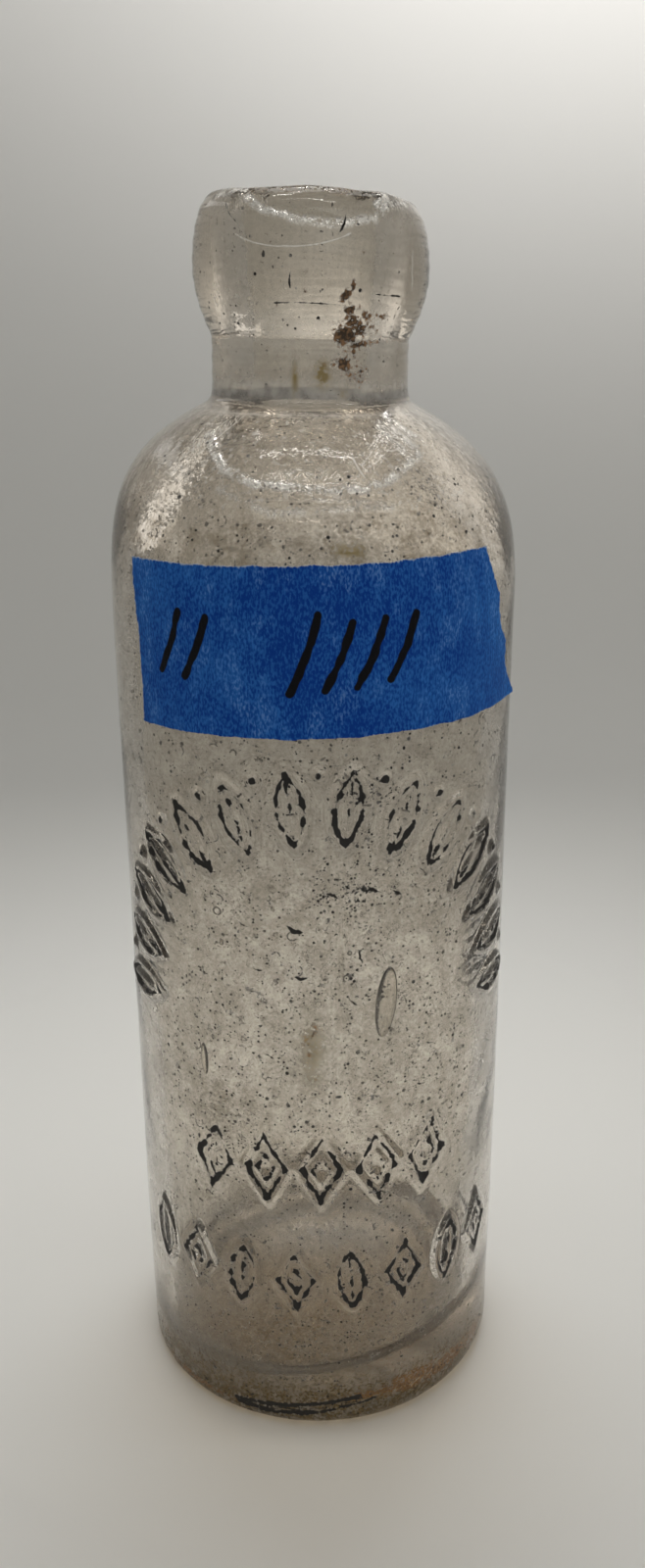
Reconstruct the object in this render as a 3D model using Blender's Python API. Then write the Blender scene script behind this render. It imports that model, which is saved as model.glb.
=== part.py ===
# Hutch bottle: a squat soda bottle of thick mould-blown glass with a tooled, blob-shaped lip,
# and a torn strip of blue crepe tape stuck round the front of its body.
# Metres, +Z up. The origin is on the resting plane, under the middle of the base.
# The front, where the tape is, faces -Y.

import math

import bmesh
import bpy

# Body of the bottle, outside
BODY_RADIUS = 0.0310
HEEL_TOP_RADIUS = 0.0307
TAPER_HEIGHT = 0.0300
BODY_HEIGHT = 0.1354
HEEL_ROUND = 0.0026
RESTING_RING_WIDTH = 0.0058
PUSH_UP_DEPTH = 0.0034
PUSH_UP_RIM_OUT_SHARE = 0.62
PUSH_UP_RIM_UP_SHARE = 0.25

# Shoulder, outside: it swells out of the body and falls in flat towards the neck
SHOULDER_HEIGHT = 0.0276
NECK_ROOT_RADIUS = 0.0164
SHOULDER_SWELL = 0.0152
SHOULDER_FLAT_RUN = 0.0112
SHOULDER_FLAT_RISE = 0.0057

# Neck and lip, outside
NECK_RADIUS = 0.0144
NECK_HEIGHT = 0.0094
NECK_ROOT_ROUND = 0.0058
BLOB_RADIUS = 0.01707
LIP_HEIGHT = 0.0190
LIP_TOP_RADIUS = 0.0131
BLOB_WIDEST_SHARE = 0.50
BLOB_FOOT_OUT_SHARE = 0.35
BLOB_FOOT_UP_SHARE = 0.24
BLOB_LOWER_SIDE_SHARE = 0.45
BLOB_UPPER_SIDE_SHARE = 0.37
LIP_CROWN_SHARE = 0.78

# Inside of the bottle
WALL = 0.0038
FLOOR_HEIGHT = 0.0103
FLOOR_CORNER_ROUND = 0.0042
BORE_SEAT_RADIUS = 0.0079
BORE_MOUTH_RADIUS = 0.0096
SEAT_LIP_ROUND = 0.0016
SEAT_DEPTH = 0.0026
MOUTH_ROUND = 0.0034
INNER_SWELL_SHARE = 0.95
INNER_FLAT_SHARE = 0.62

# How far hand work left the glass out of true: leans are a rise for each unit towards -X,
# and shifts are off the body's axis, towards +X. The floor leans the other way, because its
# glass lies thicker on the +X side.
SHOULDER_LEAN = 0.020
LIP_LEAN = 0.028
FLOOR_LEAN = -0.185
HEEL_LEAN = -0.030
SHOULDER_SHIFT = -0.0002
LIP_SHIFT = 0.0005
LEAN_START_SHARE = 0.92
LEAN_FULL_SHARE = 1.08

# Strip of crepe tape. Reaches are measured along the glass from the front line.
TAPE_WIDTH = 0.0236
TAPE_RISE_ON_SHOULDER = 0.0088
TAPE_THICKNESS = 0.00016
TAPE_GAP = 0.0003
TAPE_TILT = 0.0008
CUT_END_REACH_LOW = 0.0285
CUT_END_REACH_HIGH = 0.0301
TORN_END_REACH_LOW = 0.0398
TORN_END_REACH_HIGH = 0.0285
TORN_BITE = 0.0015
TORN_CUSP_SHARES = (0.0, 0.38, 0.69, 1.0)
TORN_BITE_SHARES = (1.0, 0.8, 0.45)

# How finely the round forms are divided, and where the straight stretches have rings
TURNS = 60
BODY_RING_SHARES = (0.6, 0.25)
CAVITY_RING_SHARES = (0.15, 0.35, 0.7, 1.0)
BORE_RING_SHARES = (0.4, 0.75, 1.0)
TAPE_COLUMNS = 24
TAPE_ROWS = 14
WELD_DISTANCE = 0.00001
SMOOTH_ANGLE = math.radians(35)
REFRACTION = 1.52

# Heights worked out from the sizes above
SHOULDER_TOP = BODY_HEIGHT + SHOULDER_HEIGHT
CREASE_HEIGHT = SHOULDER_TOP + NECK_HEIGHT
LIP_TOP = CREASE_HEIGHT + LIP_HEIGHT
BLOB_HEIGHT = CREASE_HEIGHT + LIP_HEIGHT * BLOB_WIDEST_SHARE
CAVITY_RADIUS = BODY_RADIUS - WALL
SEAT_HEIGHT = SHOULDER_TOP - SEAT_DEPTH


def curve_points(start, start_pull, end_pull, end, count):
    """Points on the cubic curve from start to end, without start itself."""
    points = []
    for step in range(1, count + 1):
        t = step / count
        weights = ((1 - t) ** 3, 3 * t * (1 - t) ** 2, 3 * t * t * (1 - t), t**3)
        corners = (start, start_pull, end_pull, end)
        points.append(tuple(sum(w * c[axis] for w, c in zip(weights, corners)) for axis in (0, 1)))
    return points


def quarter_points(start, end, count, leaves_level):
    """Points on a quarter ellipse from start to end, without start itself."""
    points = []
    for step in range(1, count + 1):
        angle = step / count * math.pi / 2
        along, across = math.sin(angle), 1 - math.cos(angle)
        if not leaves_level:
            along, across = across, along
        points.append((start[0] + (end[0] - start[0]) * along, start[1] + (end[1] - start[1]) * across))
    return points


def eased(value, low, high):
    """0 below low, 1 above high, and a smooth step between."""
    t = min(max((value - low) / (high - low), 0), 1)
    return t * t * (3 - 2 * t)


def inner_outline():
    """The cavity's half outline as (radius, height), from the middle of the floor up to the mouth."""
    outline = [(0, FLOOR_HEIGHT)]
    corner_start = (CAVITY_RADIUS - FLOOR_CORNER_ROUND, FLOOR_HEIGHT)
    outline.append((corner_start[0] / 2, FLOOR_HEIGHT))
    outline.append(corner_start)
    corner_end = (CAVITY_RADIUS, FLOOR_HEIGHT + FLOOR_CORNER_ROUND)
    outline += quarter_points(corner_start, corner_end, 4, leaves_level=True)
    wall_top = (CAVITY_RADIUS, BODY_HEIGHT - WALL / 2)
    for share in CAVITY_RING_SHARES:
        outline.append((CAVITY_RADIUS, corner_end[1] + (wall_top[1] - corner_end[1]) * share))
    seat_under = (BORE_SEAT_RADIUS + SEAT_LIP_ROUND, SEAT_HEIGHT - SEAT_LIP_ROUND)
    swell = (CAVITY_RADIUS, wall_top[1] + SHOULDER_SWELL * INNER_SWELL_SHARE)
    flat_run, flat_rise = SHOULDER_FLAT_RUN * INNER_FLAT_SHARE, SHOULDER_FLAT_RISE * INNER_FLAT_SHARE
    flat = (seat_under[0] + flat_run, seat_under[1] - flat_rise)
    outline += curve_points(wall_top, swell, flat, seat_under, 9)
    outline += quarter_points(seat_under, (BORE_SEAT_RADIUS, SEAT_HEIGHT), 3, leaves_level=True)
    bore_start = (BORE_SEAT_RADIUS, SEAT_HEIGHT + SEAT_DEPTH)
    outline.append(bore_start)
    mouth = (BORE_MOUTH_RADIUS, LIP_TOP - MOUTH_ROUND)
    for share in BORE_RING_SHARES:
        outline.append(tuple(low + (high - low) * share for low, high in zip(bore_start, mouth)))
    outline += quarter_points(mouth, (LIP_TOP_RADIUS, LIP_TOP), 4, leaves_level=False)
    return outline


def outer_outline():
    """The outside's half outline as (radius, height), from the lip's top down to the heel."""
    top = (LIP_TOP_RADIUS, LIP_TOP)
    widest = (BLOB_RADIUS, BLOB_HEIGHT)
    upper = LIP_TOP - BLOB_HEIGHT
    crown = (LIP_TOP_RADIUS + (BLOB_RADIUS - LIP_TOP_RADIUS) * LIP_CROWN_SHARE, LIP_TOP)
    outline = curve_points(top, crown, (BLOB_RADIUS, BLOB_HEIGHT + upper * BLOB_UPPER_SIDE_SHARE), widest, 7)
    lower = BLOB_HEIGHT - CREASE_HEIGHT
    crease = (NECK_RADIUS, CREASE_HEIGHT)
    foot = (
        NECK_RADIUS + (BLOB_RADIUS - NECK_RADIUS) * BLOB_FOOT_OUT_SHARE,
        CREASE_HEIGHT + lower * BLOB_FOOT_UP_SHARE,
    )
    outline += curve_points(widest, (BLOB_RADIUS, BLOB_HEIGHT - lower * BLOB_LOWER_SIDE_SHARE), foot, crease, 7)
    root = (NECK_ROOT_RADIUS, SHOULDER_TOP)
    neck_end = (NECK_RADIUS, SHOULDER_TOP + NECK_ROOT_ROUND)
    outline.append(neck_end)
    slope = SHOULDER_FLAT_RISE / SHOULDER_FLAT_RUN
    root_pull = (NECK_RADIUS, SHOULDER_TOP + slope * (NECK_ROOT_RADIUS - NECK_RADIUS))
    outline += curve_points(neck_end, root_pull, root_pull, root, 4)
    flat = (NECK_ROOT_RADIUS + SHOULDER_FLAT_RUN, SHOULDER_TOP - SHOULDER_FLAT_RISE)
    body_top = (BODY_RADIUS, BODY_HEIGHT)
    outline += curve_points(root, flat, (BODY_RADIUS, BODY_HEIGHT + SHOULDER_SWELL), body_top, 12)
    for share in BODY_RING_SHARES:
        outline.append((BODY_RADIUS, TAPER_HEIGHT + (BODY_HEIGHT - TAPER_HEIGHT) * share))
    outline.append((BODY_RADIUS, TAPER_HEIGHT))
    heel_top = (HEEL_TOP_RADIUS, HEEL_ROUND)
    outline.append(heel_top)
    outline += quarter_points(heel_top, (HEEL_TOP_RADIUS - HEEL_ROUND, 0), 6, leaves_level=False)
    return outline


def base_outline():
    """The underside's half outline: the flat resting ring, then the push-up to the middle."""
    ring_inner = HEEL_TOP_RADIUS - HEEL_ROUND - RESTING_RING_WIDTH
    outline = [(ring_inner, 0)]
    rim = (ring_inner * PUSH_UP_RIM_OUT_SHARE, PUSH_UP_DEPTH * PUSH_UP_RIM_UP_SHARE)
    outline += curve_points((ring_inner, 0), rim, (ring_inner / 2, PUSH_UP_DEPTH), (0, PUSH_UP_DEPTH), 6)
    return outline


def upper_lean(height):
    """How much the shoulder, neck and lip rise towards -X at this height, for each unit of X."""
    shoulder = eased(height, BODY_HEIGHT * LEAN_START_SHARE, BODY_HEIGHT * LEAN_FULL_SHARE)
    return SHOULDER_LEAN * shoulder + LIP_LEAN * eased(height, SHOULDER_TOP, LIP_TOP)


def outer_lean(height):
    """The lean of the whole outside: the heel is rounded higher up on its +X side."""
    heel = min(height / HEEL_ROUND, 1) * (1 - eased(height, HEEL_ROUND, TAPER_HEIGHT))
    return upper_lean(height) + HEEL_LEAN * heel


def sideways(height):
    """How far the neck and lip stand off the body's axis at this height, towards +X."""
    shoulder = eased(height, BODY_HEIGHT, SHOULDER_TOP)
    return SHOULDER_SHIFT * shoulder + LIP_SHIFT * eased(height, SHOULDER_TOP, LIP_TOP)


def inner_lean(height):
    """The lean of the cavity, whose floor slopes the other way and evens out up the wall."""
    floor = 1 - eased(height, FLOOR_HEIGHT, BODY_HEIGHT / 2)
    return upper_lean(height) + FLOOR_LEAN * floor


def level(height):
    """The lean of the underside, which stands flat."""
    return 0


def principled(name, colour, roughness, transmission=0.0):
    """A material with the finish's colour and roughness. Glass lets light through and bends it."""
    material = bpy.data.materials.new(name)
    material.use_nodes = True
    shader = material.node_tree.nodes["Principled BSDF"]
    shader.inputs["Base Color"].default_value = (*colour, 1)
    shader.inputs["Roughness"].default_value = roughness
    shader.inputs["Metallic"].default_value = 0
    shader.inputs["Transmission Weight"].default_value = transmission
    shader.inputs["IOR"].default_value = REFRACTION
    return material


def finished(name, form, material):
    """Turns a bmesh into an object of the scene, smooth where its faces meet gently."""
    bmesh.ops.recalc_face_normals(form, faces=form.faces)
    mesh = bpy.data.meshes.new(name)
    form.to_mesh(mesh)
    form.free()
    mesh.shade_smooth()
    mesh.set_sharp_from_angle(angle=SMOOTH_ANGLE)
    mesh.materials.append(material)
    thing = bpy.data.objects.new(name, mesh)
    bpy.context.scene.collection.objects.link(thing)
    return thing


def glass_bottle():
    """One piece of glass: the cavity's outline and the outside's outline, spun about Z together."""
    form = bmesh.new()
    lean_layer = form.verts.layers.float.new("lean")
    profile = []
    for outline, lean_at in (
        (inner_outline(), inner_lean),
        (outer_outline(), outer_lean),
        (base_outline(), level),
    ):
        profile += [(radius, height, lean_at(height)) for radius, height in outline]
    ring = []
    for radius, height, lean in profile:
        vertex = form.verts.new((radius, 0, height))
        vertex[lean_layer] = lean
        ring.append(vertex)
    edges = [form.edges.new(pair) for pair in zip(ring, ring[1:])]
    bmesh.ops.spin(
        form, geom=ring + edges, cent=(0, 0, 0), axis=(0, 0, 1), angle=math.tau, steps=TURNS, use_merge=True
    )
    bmesh.ops.remove_doubles(form, verts=form.verts, dist=WELD_DISTANCE)
    for vertex in form.verts:
        shift = sideways(vertex.co.z)
        vertex.co.z -= vertex[lean_layer] * vertex.co.x
        vertex.co.x += shift
    return finished("glass_bottle", form, principled("aged_clear_glass", (0.80, 0.78, 0.73), 0.08, 1.0))


def glass_radius(height):
    """The outside radius of the glass at a height between the heel and the top of the shoulder."""
    climb = sorted((h, r) for r, h in outer_outline() if h <= SHOULDER_TOP)
    for (low, low_radius), (high, high_radius) in zip(climb, climb[1:]):
        if low <= height <= high:
            return low_radius + (high_radius - low_radius) * (height - low) / (high - low)
    return climb[-1][1]


def cut_end_reach(share):
    """Reach of the cut end to the left of the front line, at a share of the tape's width."""
    return CUT_END_REACH_LOW + (CUT_END_REACH_HIGH - CUT_END_REACH_LOW) * share * share


def torn_end_reach(share):
    """Reach of the torn end to the right: a slanting line with a shallow bite between its cusps."""
    reach = TORN_END_REACH_LOW + (TORN_END_REACH_HIGH - TORN_END_REACH_LOW) * share
    for low, high, bite in zip(TORN_CUSP_SHARES, TORN_CUSP_SHARES[1:], TORN_BITE_SHARES):
        if low < share < high:
            reach -= TORN_BITE * bite * math.sin(math.pi * (share - low) / (high - low))
    return reach


def masking_tape():
    """A patch wrapped on the glass, one gap off its surface, with one cut end and one torn end."""
    low_edge = BODY_HEIGHT + TAPE_RISE_ON_SHOULDER - TAPE_WIDTH
    form = bmesh.new()
    rows = []
    for row in range(TAPE_ROWS + 1):
        up = row / TAPE_ROWS
        left, right = -cut_end_reach(up), torn_end_reach(up)
        line = []
        for column in range(TAPE_COLUMNS + 1):
            reach = left + (right - left) * column / TAPE_COLUMNS
            angle = reach / BODY_RADIUS
            height = low_edge + TAPE_WIDTH * up + TAPE_TILT * reach / TORN_END_REACH_LOW
            across = BODY_RADIUS * math.sin(angle)
            radius = glass_radius(height + outer_lean(height) * across) + TAPE_GAP
            line.append(form.verts.new((radius * math.sin(angle), -radius * math.cos(angle), height)))
        rows.append(line)
    for lower, upper in zip(rows, rows[1:]):
        for column in range(TAPE_COLUMNS):
            form.faces.new((lower[column], lower[column + 1], upper[column + 1], upper[column]))
    tape = finished("masking_tape", form, principled("blue_crepe_tape", (0.02, 0.09, 0.32), 0.75))
    thickness = tape.modifiers.new("thickness", "SOLIDIFY")
    thickness.thickness = TAPE_THICKNESS
    thickness.offset = 1
    return tape


for old in list(bpy.data.objects):
    bpy.data.objects.remove(old, do_unlink=True)
glass_bottle()
masking_tape()
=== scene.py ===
import math

import bpy
import numpy as np
from mathutils import Matrix


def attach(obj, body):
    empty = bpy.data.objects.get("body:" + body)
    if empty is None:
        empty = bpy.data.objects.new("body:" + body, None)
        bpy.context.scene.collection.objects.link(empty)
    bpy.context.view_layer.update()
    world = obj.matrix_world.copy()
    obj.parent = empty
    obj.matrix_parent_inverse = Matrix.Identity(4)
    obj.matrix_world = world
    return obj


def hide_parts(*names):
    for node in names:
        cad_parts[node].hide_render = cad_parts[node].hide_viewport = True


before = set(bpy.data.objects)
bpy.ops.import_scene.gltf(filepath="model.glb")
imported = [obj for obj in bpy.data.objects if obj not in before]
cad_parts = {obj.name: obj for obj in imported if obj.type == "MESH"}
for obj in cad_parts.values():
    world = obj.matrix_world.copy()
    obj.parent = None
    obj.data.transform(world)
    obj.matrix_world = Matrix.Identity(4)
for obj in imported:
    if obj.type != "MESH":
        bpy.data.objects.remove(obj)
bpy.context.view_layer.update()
scene = bpy.context.scene

# Camera
# The place, tilt and lens come from fitting the bottle's outline and its tape in the photograph:
# a phone's camera, a hand's length away and as high as the neck, looking down at the front.
FRAME_HEIGHT_PIXELS = 1600
FOCAL_PIXELS = 1320.5
CAMERA_DISTANCE = 0.2004
CAMERA_HEIGHT = 0.1724
CAMERA_PITCH = 0.3315
CAMERA_YAW = 0.0057
CAMERA_ROLL = -0.0084
NEAREST_SEEN = 0.005
FURTHEST_SEEN = 10

camera_data = bpy.data.cameras.new("camera")
camera_data.sensor_width = 36
camera_data.lens = FOCAL_PIXELS / FRAME_HEIGHT_PIXELS * camera_data.sensor_width
camera_data.clip_start = NEAREST_SEEN
camera_data.clip_end = FURTHEST_SEEN
camera = bpy.data.objects.new("camera", camera_data)
scene.collection.objects.link(camera)
camera_turn = (
    Matrix.Rotation(-CAMERA_YAW, 4, "Z")
    @ Matrix.Rotation(math.pi / 2 - CAMERA_PITCH, 4, "X")
    @ Matrix.Rotation(CAMERA_ROLL, 4, "Z")
)
camera.matrix_world = Matrix.Translation((0, -CAMERA_DISTANCE, CAMERA_HEIGHT)) @ camera_turn
scene.camera = camera

# Some pale lines, bands and grains on it are painted highlights and painted light, and one dark band on its
# shoulder is painted shade.
# Glass bottle
# One piece of thick, mould-blown soda glass with a hand-tooled lip, a little out of true.
# It has aged in the ground: worn haze, specks, scuffs, rust, and dark soil round its raised ornament.
# All sizes are in millimetres until the mesh is stored.
MM = 0.001

# Points of the half outline, as (radius, height): inside first, from the floor up to the mouth
BODY_RADIUS = 31.0
FLOOR_MIDDLE = (0, 7.4)
FLOOR_EDGE = (21.3, 7.4)
WALL_FOOT = (27.2, 12.8)
WALL_TOP = (27.2, 133.5)
SEAT_EDGE = (9.5, 158.8)
SEAT_TOP = (7.9, 160.4)
BORE_FOOT = (7.9, 163.0)
BORE_TOP = (9.6, 188.0)
LIP_CROWN = (13.1, 191.4)
LIP_SIDE = (17.07, 181.9)
LIP_FOOT = (14.4, 172.4)
NECK_FOOT = (14.4, 168.8)
NECK_ROOT = (16.4, 163.0)
BODY_TOP = (BODY_RADIUS, 135.4)
ORNAMENT_TOP = (BODY_RADIUS, 119.5)
TAPER_TOP = (BODY_RADIUS, 30.0)
TAPER_MIDDLE = (30.88, 20.0)
ORNAMENT_FOOT = (30.77, 9.0)
HEEL_TOP = (30.7, 2.6)
RESTING_RING_OUTSIDE = (28.1, 0)
RESTING_RING_INSIDE = (22.3, 0)
PUSH_UP_TOP = (0, 3.4)


def straight(start, end, count):
    """Even steps from start to end, without start: start plus a growing share of the difference."""
    share = np.arange(1, count + 1)[:, None] / count
    return np.array(start) + (np.array(end) - np.array(start)) * share


def pulled(start, start_pull, end_pull, end, count):
    """Cubic curve: four corners weighted by (1-t)^3, 3t(1-t)^2, 3t^2(1-t) and t^3, without start."""
    t = np.arange(1, count + 1)[:, None] / count
    corners = [np.array(corner, float) for corner in (start, start_pull, end_pull, end)]
    weights = [(1 - t) ** 3, 3 * t * (1 - t) ** 2, 3 * t * t * (1 - t), t**3]
    return sum(weight * corner for weight, corner in zip(weights, corners))


def quarter(start, end, count, leaves_level):
    """Quarter ellipse from start to end: one axis goes with sin(t), the other with 1 - cos(t)."""
    t = np.arange(1, count + 1)[:, None] / count * math.pi / 2
    along, across = np.sin(t), 1 - np.cos(t)
    share = np.hstack([along, across] if leaves_level else [across, along])
    return np.array(start) + (np.array(end) - np.array(start)) * share


def eased(value, low, high):
    """0 below low, 1 above high, and t*t*(3-2t) between."""
    t = np.clip((value - low) / (high - low), 0, 1)
    return t * t * (3 - 2 * t)


def waves(points, length, seed, count=14):
    """Uneven surface: the sum of sine waves, each with a seeded direction, phase and wavelength."""
    draw = np.random.default_rng(seed)
    direction = draw.normal(size=(count, 3))
    direction /= np.linalg.norm(direction, axis=1)[:, None]
    pace = 2 * math.pi / (length * draw.uniform(0.75, 1.5, count))
    phase = draw.uniform(0, 2 * math.pi, count)
    return np.sin(points @ (direction * pace[:, None]).T + phase).sum(1) * math.sqrt(2 / count)


# Up the cavity from the middle of the floor, over the lip, and down the outside to the resting
# ring and the push-up under the base
cavity = np.vstack(
    [
        [FLOOR_MIDDLE],
        straight(FLOOR_MIDDLE, FLOOR_EDGE, 7),
        quarter(FLOOR_EDGE, WALL_FOOT, 9, leaves_level=True),
        straight(WALL_FOOT, WALL_TOP, 32),
        pulled(WALL_TOP, (27.2, 147.94), (16.44, 155.27), SEAT_EDGE, 22),
        quarter(SEAT_EDGE, SEAT_TOP, 4, leaves_level=True),
        straight(SEAT_TOP, BORE_FOOT, 2),
        straight(BORE_FOOT, BORE_TOP, 18),
        quarter(BORE_TOP, LIP_CROWN, 7, leaves_level=False),
    ]
)
outside = np.vstack(
    [
        pulled(LIP_CROWN, (16.2, 191.4), (17.07, 185.42), LIP_SIDE, 22),
        pulled(LIP_SIDE, (17.07, 177.63), (15.33, 174.68), LIP_FOOT, 22),
        straight(LIP_FOOT, NECK_FOOT, 9),
        pulled(NECK_FOOT, (14.4, 164.02), (14.4, 164.02), NECK_ROOT, 9),
        pulled(NECK_ROOT, (27.6, 157.3), (BODY_RADIUS, 150.6), BODY_TOP, 34),
        straight(BODY_TOP, ORNAMENT_TOP, 8),
        straight(ORNAMENT_TOP, TAPER_TOP, 179),
        straight(TAPER_TOP, TAPER_MIDDLE, 20),
        straight(TAPER_MIDDLE, ORNAMENT_FOOT, 9),
        straight(ORNAMENT_FOOT, HEEL_TOP, 18),
        quarter(HEEL_TOP, RESTING_RING_OUTSIDE, 6, leaves_level=False),
    ]
)
underside = np.vstack(
    [
        straight(RESTING_RING_OUTSIDE, RESTING_RING_INSIDE, 3),
        pulled(RESTING_RING_INSIDE, (13.83, 0.85), (11.15, 3.4), PUSH_UP_TOP, 11),
    ]
)
half_outline = np.vstack([cavity, outside, underside])
radius, height = half_outline.T
row_number = np.arange(len(radius))
is_cavity = row_number < len(cavity)
is_underside = row_number >= len(cavity) + len(outside)


SHOULDER_LEAN = 0.020
SHOULDER_LEAN_SPAN = (124.6, 146.2)
NECK_LEAN = 0.028
HEEL_LEAN = 0.030
FLOOR_SLANT = 0.160
FLOOR_SLANT_SPAN = (8.0, 67.7)
SHOULDER_SHIFT = -0.2
LIP_SHIFT = 0.5


def upper_lean(level):
    """Rise towards -X for each unit of X, growing through the shoulder and again through the neck."""
    through_neck = eased(level, NECK_ROOT[1], LIP_CROWN[1])
    return SHOULDER_LEAN * eased(level, *SHOULDER_LEAN_SPAN) + NECK_LEAN * through_neck


def heel_lean(level):
    """The same, and less at the heel, which is rounded higher up on its +X side."""
    round_share = np.minimum(level / HEEL_TOP[1], 1)
    return upper_lean(level) - HEEL_LEAN * round_share * (1 - eased(level, HEEL_TOP[1], TAPER_TOP[1]))


def neck_shift(level):
    """How far the shoulder and the lip stand off the axis, towards +X."""
    through_shoulder = eased(level, BODY_TOP[1], NECK_ROOT[1])
    return SHOULDER_SHIFT * through_shoulder + LIP_SHIFT * eased(level, NECK_ROOT[1], LIP_CROWN[1])


cavity_lean = upper_lean(height) - FLOOR_SLANT * (1 - eased(height, *FLOOR_SLANT_SPAN))
lean = np.where(is_cavity, cavity_lean, np.where(is_underside, 0, heel_lean(height)))

# Turning angle of each column, from the front towards +X: close together over the ornament
COLUMNS = 208
angle_steps = np.radians(np.linspace(-180, 180, 3601))
column_width = np.radians(0.92 + 4.0 * eased(np.abs(np.degrees(angle_steps)), 68, 104))
column_count = np.concatenate([[0], np.cumsum(np.diff(angle_steps) / column_width[1:])])
share_round = np.arange(COLUMNS) / COLUMNS * column_count[-1]
angle = np.interp(share_round, column_count, angle_steps)

turn_angle, level = np.meshgrid(angle, height)
reach = np.repeat(radius[:, None], COLUMNS, axis=1)
place = np.stack([reach * np.sin(turn_angle), -reach * np.cos(turn_angle), level], axis=2)
flat_place = place.reshape(-1, 3)
grid = reach.shape

# Raised ornament, unrolled: x runs round the body and y up it, both in mm.
across = BODY_RADIUS * turn_angle
STROKE_HALF_WIDTH = 0.95
STROKE_RISE = 0.5
RESIDUE_INSIDE = 0.55


def leaf(x, y, half_width, half_length):
    """Distance outside a pointed leaf, the overlap of two equal discs: the further disc's edge."""
    offset = (half_length**2 - half_width**2) / (2 * half_width)
    return np.maximum(np.hypot(x - offset, y), np.hypot(x + offset, y)) - offset - half_width


def lozenge(x, y, half_width, half_length):
    """Distance outside a rhombus: |x|/a + |y|/b - 1, times the distance from its middle to a side."""
    side = half_width * half_length / math.hypot(half_width, half_length)
    return (np.abs(x) / half_width + np.abs(y) / half_length - 1) * side


def rib(x, y, half_length):
    """Distance from an upright line of that half length, whose ends are round."""
    return np.hypot(x, np.maximum(np.abs(y) - half_length, 0))


def tips(x, y, half_width, half_length):
    """Soil caught in the corners: e to the minus squared distance from each tip of a motif."""
    ends = [(0, half_length), (0, -half_length), (half_width, 0), (-half_width, 0)]
    return np.maximum.reduce([np.exp(-((x - a) ** 2 + (y - b) ** 2) / 0.8) for a, b in ends])


def turned(x0, y0, tilt):
    """The unrolled place seen from (x0, y0), turned so that the tilted motif stands upright."""
    x, y = across - x0, level - y0
    return x * math.cos(tilt) - y * math.sin(tilt), x * math.sin(tilt) + y * math.cos(tilt)


def on_arch(tilt, beyond):
    """The unrolled place seen from a motif on the arch, or so far beyond it, at that angle from its top."""
    far = ARCH_RADIUS + beyond
    return turned(ARCH_MIDDLE[0] + far * math.sin(tilt), ARCH_MIDDLE[1] + far * math.cos(tilt), tilt)


ARCH_MIDDLE = (0.5, 76.5)
ARCH_RADIUS = 34.0
BEAD_GAP = 4.9
BEAD_RADIUS = 0.3
UPPER_ROW_HEIGHT = 51.0
LOWER_ROW_HEIGHT = 30.2
# Half width and half length of each motif
ARCH_LEAF = (2.5, 6.0)
UPPER_LOZENGE = (3.7, 6.5)
LOWER_LOZENGE = (3.5, 6.0)
LOWER_LEAF = (2.6, 5.9)
outlines, ribs, corners = [], [], []
for tilt in np.radians(np.linspace(-91, 91, 14)):
    x, y = on_arch(tilt, 0)
    outlines.append(leaf(x, y, *ARCH_LEAF))
    corners.append(tips(x, y, 0, 5.2))
    ribs.append(rib(x, y, 4.3))
for tilt in np.radians(np.linspace(-84, 84, 13)):
    x, y = on_arch(tilt, BEAD_GAP)
    ribs.append(np.hypot(x, y) - BEAD_RADIUS)
for x0, tilt in zip((-17.2, -8.4, 0.3, 9.1, 17.8), (0.10, -0.06, 0.03, -0.05, 0.12)):
    x, y = turned(x0, UPPER_ROW_HEIGHT, tilt)
    outlines.append(lozenge(x, y, *UPPER_LOZENGE))
    corners.append(tips(x, y, 2.9, 5.5))
    ribs.append(np.abs(lozenge(x, y, 1.3, 2.4)))
for number, x0 in enumerate(np.linspace(-30.5, 31.5, 8)):
    x, y = turned(x0, LOWER_ROW_HEIGHT, (-0.08, 0.05, 0.10, -0.04)[number % 4])
    if number % 2:
        outlines.append(lozenge(x, y, *LOWER_LOZENGE))
        ribs.append(np.abs(lozenge(x, y, 1.2, 2.2)))
    else:
        outlines.append(leaf(x, y, *LOWER_LEAF))
        ribs.append(rib(x, y, 4.1))
    corners.append(tips(x, y, 2.7 * (number % 2), 5.0))
outline_distance = np.minimum.reduce(outlines)
clogged = np.maximum.reduce(corners)
rib_distance = np.minimum.reduce(ribs)
is_body = ((row_number >= len(cavity)) & ~is_underside & (height < 125))[:, None]


def stroke(distance):
    """Rounded stroke: half a cosine wave across its width, flattened a little at the top."""
    share = np.clip(np.abs(distance) / STROKE_HALF_WIDTH, 0, 1)
    return (0.5 + 0.5 * np.cos(math.pi * share)) ** 0.8


raised = np.maximum(stroke(outline_distance), stroke(rib_distance)) * is_body
wear = 0.75 + 0.25 * waves(flat_place, 14, seed=5).reshape(grid)
relief = STROKE_RISE * raised * np.clip(wear, 0.35, 1.1)

# Uneven glass: the mould leaves the outside nearly true, and the inside follows nothing.
slow = waves(flat_place, 46, seed=11).reshape(grid)
middling = waves(flat_place, 17, seed=12).reshape(grid)
quick = waves(flat_place, 6.5, seed=13).reshape(grid)
settled = eased(radius, 2, 9)[:, None]
inner_play = (0.16 * slow + 0.09 * middling + 0.020 * quick) * settled
outer_play = (0.05 * slow + 0.028 * middling + 0.010 * quick) * settled
tooled = eased(height, 163, 168)[:, None]
outer_play = outer_play + tooled * 0.045 * np.sin(level * 2.9 + 0.8 * middling) * (radius > 12)[:, None]
cut_ring = np.exp(-(((height - 188.6) / 1.1) ** 2))[:, None] * (radius < 12)[:, None]
crisp = waves(flat_place, 2.6, seed=14).reshape(grid)
inner_play = inner_play + 0.10 * crisp * cut_ring
drawn_out = 0.022 * np.sin(turn_angle * 46 + 2.5 * slow) * np.clip(0.3 + middling, 0, 1)
outer_play = outer_play + drawn_out * (eased(height, 148, 154) * (1 - eased(height, 161, 164)))[:, None]
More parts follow.
